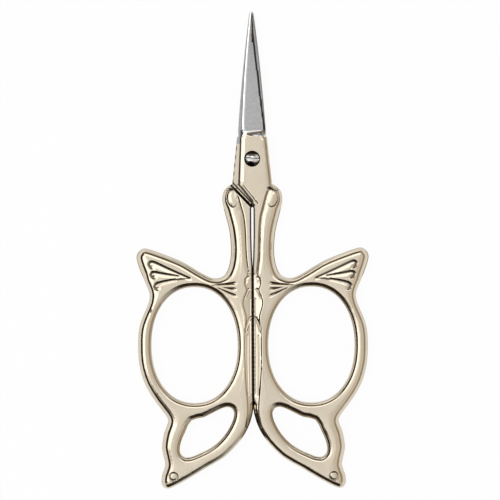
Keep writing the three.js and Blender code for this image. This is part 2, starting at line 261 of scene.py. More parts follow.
class Edges:
    """The worked edges of one half: how far a point is from the nearest one, and how that one is worked."""

    def __init__(self, loops):
        """Takes each loop of the plan, with whether it is a hole."""
        self.points = np.concatenate([loop for loop, _ in loops])
        self.inward = np.concatenate([facing_in(loop, is_hole) for loop, is_hole in loops])
        start = np.cumsum([0] + [len(loop) for loop, _ in loops])
        self.next = np.concatenate([np.roll(np.arange(a, b), -1) for a, b in zip(start, start[1:])])
        self.last = np.concatenate([np.roll(np.arange(a, b), 1) for a, b in zip(start, start[1:])])
        inward = np.split(self.inward, start[1:-1])
        self.form = np.concatenate(
            [edge_forms(loop, normals, is_hole) for (loop, is_hole), normals in zip(loops, inward)]
        )
        self.tree = kdtree.KDTree(len(self.points))
        for i, point in enumerate(self.points):
            self.tree.insert((*point, 0), i)
        self.tree.balance()

    def nearest(self, plan):
        """Distance to the nearest edge, and the form of that edge."""
        i = np.array([self.tree.find((*point, 0))[1] for point in plan])
        distance = np.full(len(plan), np.inf)
        for j in (self.next[i], self.last[i]):
            along = self.points[j] - self.points[i]
            share = ((plan - self.points[i]) * along).sum(1) / (along * along).sum(1)
            foot = self.points[i] + np.clip(share, 0, 1)[:, None] * along
            distance = np.minimum(distance, np.linalg.norm(plan - foot, axis=1))
        return distance, self.form[i]


def edge_reach(form):
    """How far in from the edge it is worked."""
    edge = EdgeForm(*form.T)
    return np.maximum(edge.bevel + CREASE_REACH * edge.softness, edge.round)


def edge_drop(distance, form):
    """How far a worked edge lies below the face: a soft-creased bevel, a crown and a round into the wall."""
    edge = EdgeForm(*form.T)
    bevel = edge.slope * edge.softness * np.logaddexp(0, (edge.bevel - distance) / edge.softness)
    crown = CROWN * edge.crown * np.exp(-distance / CROWN_REACH)
    into = ramp(distance, edge.round, 0)
    return bevel + crown + edge.drop * (1 - np.sqrt(1 - into**2))


half_edges = Edges([(half_rim, False), (finger_rim, True), (wing_rim, True)])

# The two halves: the butterfly ornament
# The dies strike flutes and lines into both faces of the bow: a fan of flutes on the wing, the butterfly's
# body along the seam, a bud below the ricasso and an eye on the tail. Their floors and steep walls are
# darkened: painted shade, with some tarnish in the floors.
Stroke = namedtuple("Stroke", "path left right depth dirt taper hollow")
STROKE_SPACING, SLACK, DIRT_AND_SHADE_FALL = 0.12, 1.6, 8
FLUTE_DEPTH, FLUTE_DIRT_AND_SHADE, FLUTE_WALL = 0.25, 0.95, 0.66
SMALL_FLUTE, SMALL_FLUTE_WALL = 0.7, 0.6 * FLUTE_WALL
BODY_DIRT_AND_SHADE = 0.2


def stroke(points, left, right, depth, dirt, taper=(1, 1), closed=False, hollow=True):
    """A struck line: its path, how wide it runs out on each side, its depth, its tarnish and painted shade,
    and its taper.

    Its narrower side is hollow or straight. Its wider side runs out, slackly beside a straight one."""
    path = flowing(points, STROKE_SPACING, closed, corner=math.pi)
    if closed:
        path = np.concatenate([path, path[:1]])
    return Stroke(path, left, right, depth, dirt, taper, hollow)


def small_flute(point, end):
    """A teardrop flute from its point in to its round end by the body, steep on its upper side."""
    return stroke([point, end], SMALL_FLUTE, SMALL_FLUTE_WALL, FLUTE_DEPTH, FLUTE_DIRT_AND_SHADE, taper=(0.2, 1))


def curled_flute(width, *points):
    """A long flute, steep along its upper side and round its end, that runs out slackly below."""
    return stroke(points, FLUTE_WALL, width, FLUTE_DEPTH, FLUTE_DIRT_AND_SHADE, taper=(0.7, 1))


def oval(middle, across, along, steps=24):
    angle = np.linspace(0, 2 * math.pi, steps, endpoint=False)
    return np.array(middle) + np.column_stack([across * np.cos(angle), along * np.sin(angle)])


wing_fan = [
    curled_flute(
        1.1, (16.5, -31.1), (21.5, -28.9), (25.4, -27.1), (26.4, -26.9), (26.8, -27.4), (26.3, -28.1)
    ),
    curled_flute(
        1.0, (19.3, -30.5), (23.0, -30.0), (25.4, -29.6), (26.1, -29.7), (26.3, -30.2), (25.7, -30.7)
    ),
    curled_flute(
        0.9, (20.2, -31.4), (22.8, -31.9), (24.6, -32.4), (25.2, -32.8), (25.3, -33.3), (24.9, -33.7)
    ),
    stroke([(16.4, -31.0), (18.4, -31.1), (20.2, -31.4)], 0.3, 0.3, 0.13, FLUTE_DIRT_AND_SHADE),
]
inner_fan = [
    small_flute((10.6, -32.8), (4.8, -32.3)),
    small_flute((7.6, -33.4), (4.8, -33.8)),
    small_flute((9.0, -33.5), (4.7, -35.5)),
]
# A line of painted shadow beside the other half's slanted foot.
foot_line = stroke([(-2.3, -6.88), (1.5, -11.72)], 0.15, 0.15, 0.1, dirt=0.85)
body_lines = [
    stroke([(1.3, -30.9), (1.75, -31.4), (1.7, -32.0)], 0.45, 0.5, 0.18, BODY_DIRT_AND_SHADE),
    stroke([(1.2, -34.0), (1.6, -34.9), (2.1, -36.0)], 0.5, 0.5, 0.2, BODY_DIRT_AND_SHADE),
    stroke([(0.8, -41.4), (1.4, -42.9), (1.9, -44.6)], 0.5, 0.5, 0.22, BODY_DIRT_AND_SHADE),
    stroke([(0.75, -36.5), (0.85, -45.0), (0.8, -61.0)], 0.25, 0.25, 0.07, BODY_DIRT_AND_SHADE),
    stroke([(1.45, -46.0), (1.5, -53.0), (1.3, -61.5)], 0.25, 0.25, 0.09, BODY_DIRT_AND_SHADE),
]
# Above the bud, a notch that is painted dark as shade.
bud_cap = stroke([(4.3, -7.6), (5.2, -7.9), (6.3, -8.2)], 0.5, 0.5, 0.4, dirt=0.95)
tail_eye = stroke(oval((20.85, -82.6), 1.0, 1.0), 0.3, 0.3, 0.14, dirt=0.55, closed=True)
strokes = [*wing_fan, *inner_fan, foot_line, *body_lines, bud_cap, tail_eye]
# A valley runs from the bud down the inner side of the shank, deeper on the outer face than on the inner one.
SHANK_VALLEY = [
    (4.2, -8.6), (3.7, -10.1), (3.0, -12.6), (2.4, -14.8), (2.1, -17), (1.9, -20), (1.7, -25), (1.2, -29.5),
]
VALLEY_RUN_OUT, VALLEY_TAPER = 1.6, (1, 0.6)
outer_valley = stroke(SHANK_VALLEY, VALLEY_RUN_OUT, 0.6, 0.42, dirt=0.4, taper=VALLEY_TAPER, hollow=False)
inner_valley = stroke(SHANK_VALLEY, VALLEY_RUN_OUT, 0.5, 0.24, dirt=0.55, taper=VALLEY_TAPER, hollow=False)
outer_strokes, inner_strokes = [*strokes, outer_valley], [*strokes, inner_valley]
# The butterfly's body lies along the seam: half widths at heights down it, a low step to the wing, and a fall
# to the seam that makes the pair of half bodies one rounded one.
BODY_WIDTHS = np.array([
    (-28.0, 1.35), (-29.4, 1.35), (-30.4, 1.6), (-31.4, 2.2), (-32.3, 2.5), (-33.2, 2.2), (-34.1, 1.6),
    (-35.2, 1.9), (-36.2, 2.6), (-37.2, 2.9), (-38.6, 2.7), (-40.0, 2.2), (-41.3, 1.9), (-43.5, 2.2),
    (-46.0, 2.4), (-51.0, 2.45), (-55.0, 2.35), (-60.0, 2.05), (-63.5, 1.7), (-66.0, 1.65), (-68.5, 2.1),
    (-70.0, 2.3),
])
BODY_TOP, BODY_FOOT = BODY_WIDTHS[0, 0], BODY_WIDTHS[-1, 0]
BODY_STEP, BODY_STEP_WIDTH, BODY_FALL, BODY_RUN_OUT = 0.24, 0.48, 0.1, 2.2
BODY_POINTS, BODY_EASE, NO_BODY = 300, 6, -9
body_heights = np.linspace(BODY_TOP, BODY_FOOT, BODY_POINTS)
body_widths = np.interp(-body_heights, -BODY_WIDTHS[:, 0], BODY_WIDTHS[:, 1])
body_ease = np.ones(2 * BODY_EASE + 1) / (2 * BODY_EASE + 1)
body_widths = np.convolve(np.pad(body_widths, BODY_EASE, "edge"), body_ease, "valid")
# The bud is a domed bead, sunk in its own groove, which is deepest below it on the outer side, where a line of
# painted shade runs in the groove.
BUD, BUD_ACROSS, BUD_ALONG, BUD_LEAN = np.array([5.3, -10.3]), 1.25, 2.15, math.radians(-12)
BUD_DEPTH, BUD_INNER_SHARE, BUD_GROOVE = 0.22, 0.25, 0.25
BUD_SHADE, BUD_SHADE_AT, BUD_SHADE_WIDTH = 0.95, 1.05, 0.07
bud_turn = np.array([[math.cos(BUD_LEAN), -math.sin(BUD_LEAN)], [math.sin(BUD_LEAN), math.cos(BUD_LEAN)]])


def body_relief(plan):
    """How far the butterfly's body lies below the wing."""
    x, y = plan.T
    inside_by = np.interp(-y, -body_heights, body_widths, left=NO_BODY, right=NO_BODY) - x
    step = ramp(inside_by, 0, BODY_STEP_WIDTH)
    sunk = BODY_STEP * step * step * (3 - 2 * step) + BODY_FALL * np.clip(inside_by, 0, None)
    return sunk * ramp(y, BODY_TOP, BODY_TOP - BODY_RUN_OUT)


def bud_relief(plan):
    """Depth of the bud's dome and of the outer wall of its groove, and the painted shade in the groove."""
    across, along = ((plan - BUD) @ bud_turn / (BUD_ACROSS, BUD_ALONG)).T
    out = np.maximum(np.hypot(across, along), 0.01)
    turned_out = 0.5 + 0.35 * (across - along) / out
    depth = BUD_DEPTH * (BUD_INNER_SHARE + (1 - BUD_INNER_SHARE) * turned_out)
    groove_wall = ramp(out, 1 + BUD_GROOVE / BUD_ACROSS, 1)
    dirt = BUD_SHADE * turned_out**2 * ramp(abs(out - BUD_SHADE_AT), 2 * BUD_SHADE_WIDTH, BUD_SHADE_WIDTH)
    return depth * np.where(out < 1, out**2, groove_wall**2), dirt


def across_stroke(line, spots):
    """At points near a struck line: its taper, how far across it they lie, and if that is its steep side."""
    start, along = line.path[:-1], np.diff(line.path, axis=0)
    offset = spots[:, None] - start
    share = np.clip((offset * along).sum(2) / (along * along).sum(1), 0, 1)
    gap = np.linalg.norm(offset - share[..., None] * along, axis=2)
    best = gap.argmin(1)
    rows = np.arange(len(spots))
    side = along[best, 0] * offset[rows, best, 1] - along[best, 1] * offset[rows, best, 0]
    place = (best + share[rows, best]) / len(along)
    size = line.taper[0] + (line.taper[1] - line.taper[0]) * place
    out = np.clip(gap[rows, best] / (np.where(side > 0, line.left, line.right) * size), 0, 1)
    steep = np.where(side > 0, line.left < line.right, line.right <= line.left)
    return size, out, steep


def relief(plan, lines):
    """Depth of the struck ornament at points of the face, and the tarnish and painted shade that lie in it."""
    depth, dirt = bud_relief(plan)
    for line in lines:
        reach = max(line.left, line.right)
        near = ((plan > line.path.min(0) - reach) & (plan < line.path.max(0) + reach)).all(1)
        if not near.any():
            continue
        size, out, steep = across_stroke(line, plan[near])
        wall, slope = (1 - out**2, 1 - out) if line.hollow else (1 - out, (1 - out) ** SLACK)
        into = np.where(steep, wall, slope)
        depth[near] = np.maximum(depth[near], line.depth * size**0.5 * into)
        dirt[near] = np.maximum(dirt[near], line.dirt * np.where(steep, into, into**DIRT_AND_SHADE_FALL))
    return body_relief(plan) + depth, dirt


# The two halves: the ground blade
# The blade is ground on a wheel after plating: a flat land beside the spine chamfer, one wide bevel down to
# the cutting edge and, at its foot, the wall where the wheel runs out. The inner face is hollow ground.
INNER_FACE = 0.05
SPINE_HEIGHT, TIP_HEIGHT, EDGE_HEIGHT = 1.67, 0.78, 0.25
CHAMFER, CHAMFER_DROP, LAND_SHARE = 0.3, 0.085, 0.06
RUN_OUT_SPINE, RUN_OUT_EDGE, RUN_OUT_END = 0.22, 0.95, BLADE_ROOT + 1
ROOT_SLANT, HOLLOW = 0.4, 0.12
EDGE_BEVEL, EDGE_BEVEL_DROP = 0.3, 0.1
RIDGE_SOFTNESS, LEAST_RISE = 0.03, 0.01


def chamfer_at(y):
    return np.minimum(CHAMFER, (edge_at(y) - spine_at(y)) / 3)


def ground_height(plan):
    """The blade's outer face: chamfer, land, ground bevel and whetted edge."""
    x, y = plan.T
    from_spine, width = x - spine_at(y), edge_at(y) - spine_at(y)
    height = SPINE_HEIGHT + (TIP_HEIGHT - SPINE_HEIGHT) * blade_share(y)
    chamfer = chamfer_at(y)
    bevel = ramp(from_spine, chamfer + LAND_SHARE * width, width)
    drop = CHAMFER_DROP * ramp(from_spine, chamfer, 0)
    whetted = EDGE_BEVEL_DROP * ramp(width - from_spine, EDGE_BEVEL, 0)
    return INNER_FACE + height - drop - (height - EDGE_HEIGHT) * bevel - whetted


def lower_of(a, b, softness):
    return -softness * np.logaddexp(-a / softness, -b / softness)


def wheel_rise(x):
    return np.interp(x, [SPINE_ROOT, EDGE_ROOT], [RUN_OUT_SPINE, RUN_OUT_EDGE])


def ground_foot(x):
    return np.interp(x, [SPINE_ROOT, EDGE_ROOT], [BLADE_ROOT - ROOT_SLANT, BLADE_ROOT])


def run_out(plan):
    """The ground face, and the hollow that the round wheel leaves where it runs out at its foot."""
    short = np.clip(ground_foot(plan[:, 0]) - plan[:, 1], 0, None)
    return ground_height(plan) + wheel_rise(plan[:, 0]) / 2 * short**2


def run_out_length(plan):
    """How far below the foot of the ground face the wheel's hollow comes up to the plated face."""
    rise = np.maximum(half_thick - ground_height(plan), LEAST_RISE)
    return np.sqrt(2 * rise / wheel_rise(plan[:, 0]))


# The corner between the foot's toe and the seam is sunk to the floor of the channel in which the other half's
# foot lies. It is open towards the seam.
NOTCH_FOOT, NOTCH_WIDTH, NOTCH_FLOOR, NOTCH_DRAFT = -12.6, 0.45, 0.35, 0.06
notch = np.array([(0, SLIT_TOP), FOOT_TOE, (NOTCH_WIDTH, NOTCH_FOOT), (0, NOTCH_FOOT)])
notch_floor = notch.mean(0) + (1 - NOTCH_DRAFT) * (notch - notch.mean(0))
notch_wall = (notch + notch_floor) / 2
notch_wall[[0, -1], 0] -= 1


def inside(plan, loops):
    """Whether each point lies in the metal: an odd number of loop edges lie to its right."""
    odd = np.zeros(len(plan), bool)
    for loop in loops:
        for (ax, ay), (bx, by) in zip(loop, np.roll(loop, -1, axis=0)):
            if ay != by:
                crosses = (ay > plan[:, 1]) != (by > plan[:, 1])
                odd ^= crosses & (plan[:, 0] < ax + (plan[:, 1] - ay) * (bx - ax) / (by - ay))
    return odd


def in_notch(plan):
    return inside(plan, [notch_wall])


def outer_face(plan):
    """Height of the outer face above the joint plane."""
    distance, form = half_edges.nearest(plan)
    plate = half_thick - edge_drop(distance, form) - relief(plan, outer_strokes)[0]
    plate = np.where(in_notch(plan), NOTCH_FLOOR, plate)
    below_end = lower_of(plate, run_out(plan), RIDGE_SOFTNESS)
    return np.where(plan[:, 1] > RUN_OUT_END, ground_height(plan), below_end)


# Behind the joint plane only the shank and bow remain, below a slanted step beside the other half's foot.
CHANNEL, STEP_DRAFT = 1.85, 0.04
FILLET, FILLET_HEIGHT = 0.9, 0.8
step_corner, step_foot = FOOT_HEEL * (-1, 1), SOLID_TOE * (-1, 1)
step_along = unit(step_corner - step_foot)
step_away = np.array([step_along[1], -step_along[0]])


def past_step(plan):
    """Distance of a point below the slanted step, on the bow's side."""
    return (plan - step_foot) @ step_away - CHANNEL


def inner_face(plan):
    """Height of the inner face: flat at the joint, and the mirror of the outer face on the bow."""
    x, y = plan.T
    distance, form = half_edges.nearest(plan)
    below = past_step(plan)
    step_form = np.tile(FOOT_EDGE, (len(plan), 1))
    drop = np.hypot(edge_drop(distance, form), edge_drop(below, step_form))
    bow = -(half_thick - drop - relief(plan, inner_strokes)[0])
    across = ramp(x, spine_at(y), edge_at(y))
    hollow_share = (1 - blade_share(y)) * ramp(y, BLADE_ROOT, 2 * BLADE_ROOT)
    hollow = HOLLOW * 4 * across * (1 - across) * hollow_share
    into = ramp(below, -FILLET, 0)
    fillet = FILLET_HEIGHT * (1 - np.sqrt(1 - into**2))
    return np.where(below > 0, bow, INNER_FACE + hollow - fillet)


# A pressed piece is skinned between two height functions over one triangulated plan.
SHARP_EDGE = math.radians(34)


def circle(radius, spacing):
    return oval((0, 0), radius, radius, steps=math.ceil(2 * math.pi * radius / spacing))


def pressed(name, loops, lines, points, top, bottom, lift, dirt):
    """A closed mesh between two heights over a plan with the given edge loops, crease lines and points.

    Its corners carry the tarnish and painted shade of the upper and the lower face."""
    plan, ties = [], []
    count = 0
    for line, closed in [(loop, True) for loop in loops] + [(line, False) for line in lines]:
        ids = np.arange(count, count + len(line))
        ties += list(zip(ids[:-1], ids[1:])) + ([(ids[-1], ids[0])] if closed else [])
        plan.append(line)
        count += len(line)
    plan = np.concatenate(plan + [points])
    made = delaunay_2d_cdt([Vector(p) for p in plan], [tuple(map(int, t)) for t in ties], [], 0, 1e-5, False)
    plan = np.array([(p.x, p.y) for p in made[0]])
    faces = np.array(made[2])
    faces = faces[inside(plan[faces].mean(1), loops)]
    used, faces = np.unique(faces, return_inverse=True)
    plan, faces = plan[used], faces.reshape(-1, 3)
    size = len(plan)
    upper = np.column_stack([plan, top(plan) + lift])
    lower = np.column_stack([plan, bottom(plan) + lift])
    edges = np.concatenate([faces[:, [0, 1]], faces[:, [1, 2]], faces[:, [2, 0]]])
    known = set(map(tuple, edges))
    rim = np.array([(a, b) for a, b in edges if (b, a) not in known])
    walls = np.column_stack([rim[:, 0] + size, rim[:, 1] + size, rim[:, 1], rim[:, 0]])
    mesh = bpy.data.meshes.new(name)
    mesh.from_pydata(
        np.concatenate([upper, lower]) * MM,
        [],
        faces.tolist() + (faces[:, ::-1] + size).tolist() + walls.tolist(),
    )
    mesh.shade_smooth()
    mesh.set_sharp_from_angle(angle=SHARP_EDGE)
    # Tarnish and painted shade at each corner, which darken the metal's colour.
    tarnish_and_painted_shade = mesh.attributes.new("tarnish_and_painted_shade", "FLOAT", "POINT")
    tarnish_and_painted_shade.data.foreach_set("value", np.concatenate(dirt(plan)))
    return mesh


FACE_SPACING, CROWD_SHARE, ROW_SHARE, RIM_CLEAR = 0.18, 0.6, 0.9, 0.01
EDGE_ROWS = (0.02, 0.06, 0.12, 0.2, 0.3, 0.4, 0.5, 0.58, 0.66, 0.74, 0.82, 0.9, 1.0)
STROKE_ROWS = (0.4, 0.7, 1)
BODY_ROWS = (-0.1, 0.1, 0.25, 0.4, 0.6, 0.75, 0.9, 1.1)
BUD_ROWS = (0.55, 0.68, 0.8, 0.9, 0.96, 1.0, 1.05, 1.12, 1.2, 1.3)
CHANNEL_ROWS = (-1.2, -1.08, -0.95, -0.82, -0.7, -0.53, -0.35, -0.25, -0.15)
FOOT_IN, RIDGE_IN_SPINE, RIDGE_IN_EDGE = 0.02, 0.6, 0.9
STEP_FROM, STEP_TO = -8, 14
BUD_POINTS, FOOT_POINTS, RIDGE_POINTS, NOTCH_POINTS, STEP_POINTS = 64, 24, 30, 12, 90


def face_points():
    """Points that carry the faces: rows along the worked edges, the ornament's lines, and an even field."""
    rows = []
    for share in EDGE_ROWS:
        offset = share * edge_reach(half_edges.form)
        row = half_edges.points + half_edges.inward * offset[:, None]
        rows.append(row[half_edges.nearest(row)[0] > ROW_SHARE * offset])
    for line in outer_strokes:
        across = unit(np.gradient(line.path, axis=0))[:, ::-1] * (-1, 1)
        size = np.linspace(*line.taper, len(line.path))[:, None]
        for share in STROKE_ROWS:
            rows.append(line.path + across * line.left * size * share)
            rows.append(line.path - across * line.right * size * share)
        rows.append(line.path)
    for share in BODY_ROWS:
        rows.append(np.column_stack([body_widths - share * BODY_STEP_WIDTH, body_heights]))
    for out in BUD_ROWS:
        rows.append(BUD + oval((0, 0), BUD_ACROSS * out, BUD_ALONG * out, BUD_POINTS) @ bud_turn.T)
    placed = np.concatenate(rows)
    crowd = kdtree.KDTree(len(placed))
    for i, point in enumerate(placed):
        crowd.insert((*point, 0), i)
    crowd.balance()
    low, high = half_rim.min(0), half_rim.max(0)
    across = np.arange(low[0], high[0], FACE_SPACING)
    along = np.arange(low[1], high[1], FACE_SPACING * math.sqrt(3) / 2)
    field = np.array([(x + (i % 2) * FACE_SPACING / 2, y) for i, y in enumerate(along) for x in across])
    field = field[inside(field, half_loops)]
    distance, form = half_edges.nearest(field)
    field = field[distance > edge_reach(form)]
    field = [point for point in field if crowd.find((*point, 0))[2] > CROWD_SHARE * FACE_SPACING]
    placed = placed[inside(placed, half_loops) & (half_edges.nearest(placed)[0] > RIM_CLEAR)]
    return np.concatenate([placed, field])


def blade_lines():
    """The blade's creases: the ridge of the run-out, the chamfer, the land, the whetted edge and the foot."""
    spine, edge = spine_at(stations), edge_at(stations)
    chamfer = spine + chamfer_at(stations)
    foot = np.linspace(SPINE_ROOT + FOOT_IN, EDGE_ROOT - FOOT_IN, FOOT_POINTS)
    ridge = np.linspace(SPINE_ROOT + RIDGE_IN_SPINE, EDGE_ROOT - RIDGE_IN_EDGE, RIDGE_POINTS)
    ridge_foot = np.column_stack([ridge, ground_foot(ridge)])
    return [
        ridge_foot - run_out_length(ridge_foot)[:, None] * (0, 1),
        np.column_stack([chamfer, stations]),
        np.column_stack([chamfer + LAND_SHARE * (edge - spine), stations]),
        np.column_stack([edge - EDGE_BEVEL, stations])[:-1],
        np.column_stack([foot, ground_foot(foot)]),
    ]


def notch_lines():
    """The walls of the sunk corner by the foot's toe, as two near lines."""
    share = np.linspace(0, 1, NOTCH_POINTS)[:, None]
    lines = []
    for ring in (notch, notch_floor):
        line = np.concatenate([a + share * (b - a) for a, b in zip(ring, ring[1:])])
        lines.append(line[inside(line, [half_rim]) & (half_edges.nearest(line)[0] > RIM_CLEAR)])
    return lines


def step_lines():
    """Lines along the channel's floor, and the slanted step as two near lines with the draft of the die."""
    share = np.linspace(STEP_FROM, STEP_TO, STEP_POINTS)[:, None]
    middle = step_foot + step_away * CHANNEL + step_along * share
    lines = [middle + step_away * offset for offset in (*CHANNEL_ROWS, -STEP_DRAFT, STEP_DRAFT)]
    return [line[inside(line, [half_rim])] for line in lines]


# Painted shade darkens the struck lines (with some tarnish in their floors), the worked edges and the corners
# of the joint; a painted dark strip lies behind the bright burr of the cutting edge.
DARKEST = 0.95
EDGE_SHADE, EDGE_SHADE_LEAST, EDGE_SHADE_GAIN, EDGE_SHADE_FADE = 0.19, 0.2, 1.3, 0.1
WHETTED_FROM, WHETTED, BURR_SHADE = 6.2, 0.52, 0.1
BURR_SHARES, BURR_WIDTHS = [0, 0.3, 0.8, 1], [0.1, 0.5, 0.75, 0.4]
WEDGE_FROM, WEDGE_SPREAD, WEDGE_AT, WEDGE_FADE = 0.3, 0.36, 0.68, 0.1
SIDE_CORNER, FOOT_CORNER, BLADE_CORNER, CORNER_FADE = 0.55, 0.42, 0.14, 0.1
CHANNEL_MIDDLE, CHANNEL_SIDE, CHANNEL_BAND, CHANNEL_FADE = -0.55, 0.42, 0.27, 0.08
EDGE_BAND, EDGE_BAND_FADE, EDGE_BAND_DARK, EDGE_BAND_WAVE, EDGE_BAND_TURNS = 0.3, 0.1, 0.55, 0.4, 2.9
INNER_BARE_FROM, INNER_DULL = 4.0, 0.28


def edge_shade(distance, form):
    """Painted shade along the worked edges, which reaches further in where it is darker."""
    dirt = EdgeForm(*form.T).dirt
    reach = EDGE_SHADE * (EDGE_SHADE_LEAST + EDGE_SHADE_GAIN * dirt)
    return dirt * ramp(distance, reach + EDGE_SHADE_FADE, reach)


def blade_shade(plan, distance):
    """A painted dark strip behind the burr, and a painted wedge of shade in the hollow where the wheel ran
    out.
    """
    x, y = plan.T
    burr = np.interp(blade_share(y), BURR_SHARES, BURR_WIDTHS)
    strip = np.where(distance < burr, BURR_SHADE, DARKEST * (distance < burr + WHETTED))
    whetted = strip * (y > WHETTED_FROM) * (x > 0)
    across = (x - SPINE_ROOT) / (EDGE_ROOT - SPINE_ROOT)
    up_wall = (ground_foot(x) - y) / run_out_length(plan)
    wedge = WEDGE_SPREAD * (across - WEDGE_FROM) - abs(up_wall - WEDGE_AT)
    return np.maximum(whetted, DARKEST * ramp(wedge, 0, WEDGE_FADE))


def other_rim(y):
    """How far out the other half's spine side and slanted foot lie on the inner face at a height."""
    side = np.interp(y, [FOOT_TOE[1], RICASSO_FOOT, BLADE_ROOT], [-FOOT_TOE[0], -FOOT_HEEL[0], -SPINE_ROOT])
    return np.where(y > BLADE_ROOT, -spine_at(y), side)


def joint_shade_and_dulling(plan, distance):
    """On the inner face: painted shade in the corner along the other half and along the channel's sides, an
    uneven dark band along the edge, and the dull blade.
    """
    x, y = plan.T
    past = x - other_rim(y)
    width = np.where(y > BLADE_ROOT, BLADE_CORNER, np.where(y > RICASSO_FOOT, SIDE_CORNER, FOOT_CORNER))
    corner = np.minimum(ramp(past, -CORNER_FADE, 0), ramp(past, width, width - CORNER_FADE)) * (y > SLIT_TOP)
    from_sides = abs(abs(past_step(plan) - CHANNEL_MIDDLE) - CHANNEL_SIDE)
    channel = ramp(from_sides, CHANNEL_BAND, CHANNEL_BAND - CHANNEL_FADE)
    on_side = (y > RICASSO_FOOT) & (y < INNER_BARE_FROM) & (x > 0)
    uneven = EDGE_BAND_DARK + EDGE_BAND_WAVE * np.sin(EDGE_BAND_TURNS * y)
    edge_band = ramp(distance, EDGE_BAND, EDGE_BAND - EDGE_BAND_FADE) * uneven * on_side
    dulled = INNER_DULL * (y > INNER_BARE_FROM)
    return np.maximum.reduce([DARKEST * corner, DARKEST * channel, edge_band, dulled])


# Both halves are bored for the screw, and the front half has a round seat for its head.
BORE, SEAT, SEAT_DEPTH, SEAT_DRAFT = 1.35, 2.1, 0.7, 0.02
field_points = face_points()


def in_seat(plan):
    return np.linalg.norm(plan, axis=1) < SEAT - SEAT_DRAFT / 2


def seated_face(plan):
    """The outer face with the seat sunk in it."""
    return np.where(in_seat(plan), half_thick - SEAT_DEPTH, outer_face(plan))


def gathered_dirt_and_shade(plan, has_seat):
    """Tarnish and painted shade on the outer and on the inner face."""
    distance, form = half_edges.nearest(plan)
    edges = edge_shade(distance, form)
    outer_lines, inner_lines = (relief(plan, lines)[1] for lines in (outer_strokes, inner_strokes))
    # The sunk notch by the foot's toe is painted dark as deep shade.
    outer = np.maximum.reduce([outer_lines, edges, blade_shade(plan, distance), DARKEST * in_notch(plan)])
    inner = np.maximum.reduce([inner_lines, edges, joint_shade_and_dulling(plan, distance)])
    # The seat round the screw head is painted dark as its shadow.
    if has_seat:
        outer = np.maximum(outer, in_seat(plan))
    return outer, inner


def half_mesh(name, has_seat):
    """One half with its joint plane at the pivot's middle and its outer face up."""
    lines = blade_lines() + step_lines() + notch_lines()
    radius = np.linalg.norm(field_points, axis=1)
    clear = radius > BORE + FACE_SPACING / 2
    top = outer_face
    if has_seat:
        clear &= abs(radius - SEAT) > FACE_SPACING / 2
        rim = circle(SEAT, FACE_SPACING)
        lines += [np.concatenate([ring, ring[:1]]) for ring in (rim, rim * (1 - SEAT_DRAFT / SEAT))]
        top = seated_face
    loops = [*half_loops, circle(BORE, FACE_SPACING)]
    points = field_points[clear]
    return pressed(name, loops, lines, points, top, inner_face, 0, lambda plan: gathered_dirt_and_shade(plan, has_seat))


# The two halves: their finish
# Champagne-gold plating over polished steel, with the faintest waves left by the buffing wheel.
# The blade is bare steel, dull grey, with fine lines where the wheel has crossed it.
def plug(socket, value):
    """Sets a node's socket to a value, or links it to another node's socket."""
    if isinstance(value, bpy.types.NodeSocket):
        socket.id_data.links.new(value, socket)
    else:
        socket.default_value = value


def node_maker(material):
    """Makes the nodes of a material or world, with sockets set by name."""

    def make(kind, **inputs):
        node = material.node_tree.nodes.new(kind)
        for name, value in inputs.items():
            plug(node.inputs[name.replace("_", " ")], value)
        return node

    return make


def new_metal(name):
    material = bpy.data.materials.new(name)
    material.use_nodes = True
    shader = material.node_tree.nodes["Principled BSDF"]
    shader.inputs["Metallic"].default_value = 1
    return material, shader, node_maker(material)


GOLD = (0.73, 0.655, 0.53, 1)
GOLD_WORN = (0.65, 0.565, 0.44, 1)
# Near black: the colour of tarnish and of the painted shade laid on the metal.
TARNISH_AND_SHADE = (0.014, 0.009, 0.006, 1)
STEEL = (0.61, 0.62, 0.64, 1)
STEEL_LINE = (0.4, 0.41, 0.425, 1)
MIX_FIRST, MIX_SECOND, MIX_RESULT = 6, 7, 2


def colour_mix(make, factor, first, second):
    """Two colours mixed by a factor. Each may be a fixed colour or another node's."""
    mix = make("ShaderNodeMix", Factor=factor)
    mix.data_type = "RGBA"
    plug(mix.inputs[MIX_FIRST], first)
    plug(mix.inputs[MIX_SECOND], second)
    return mix.outputs[MIX_RESULT]


def tarnished_and_shaded(make, clean):
    """The clean colour, darkened where tarnish and painted shade have been laid on the mesh."""
    dirt = make("ShaderNodeAttribute")
    dirt.attribute_name = "tarnish_and_painted_shade"
    return colour_mix(make, dirt.outputs["Fac"], clean, TARNISH_AND_SHADE)


def rubbed(make, shader, marks, least, most):
    """Roughness that follows the marks on a metal."""
    gloss = make("ShaderNodeMapRange", Value=marks, To_Min=least, To_Max=most)
    plug(shader.inputs["Roughness"], gloss.outputs["Result"])


def dented(make, shader, marks, strength, depth):
    """Fine dents that follow the marks on a metal."""
    bump = make("ShaderNodeBump", Height=marks, Strength=strength, Distance=depth)
    plug(shader.inputs["Normal"], bump.outputs["Normal"])


def gold_plate():
    material, shader, make = new_metal("champagne_gold_plate")
    place = make("ShaderNodeTexCoord").outputs["Object"]
    wear = make("ShaderNodeTexNoise", Vector=place, Scale=220.0, Detail=6.0).outputs["Fac"]
    waves = make("ShaderNodeTexNoise", Vector=place, Scale=260.0, Detail=3.0).outputs["Fac"]
    plug(shader.inputs["Base Color"], tarnished_and_shaded(make, colour_mix(make, wear, GOLD, GOLD_WORN)))
    rubbed(make, shader, wear, 0.07, 0.15)
    dented(make, shader, waves, 0.5, 0.00016)
    return material


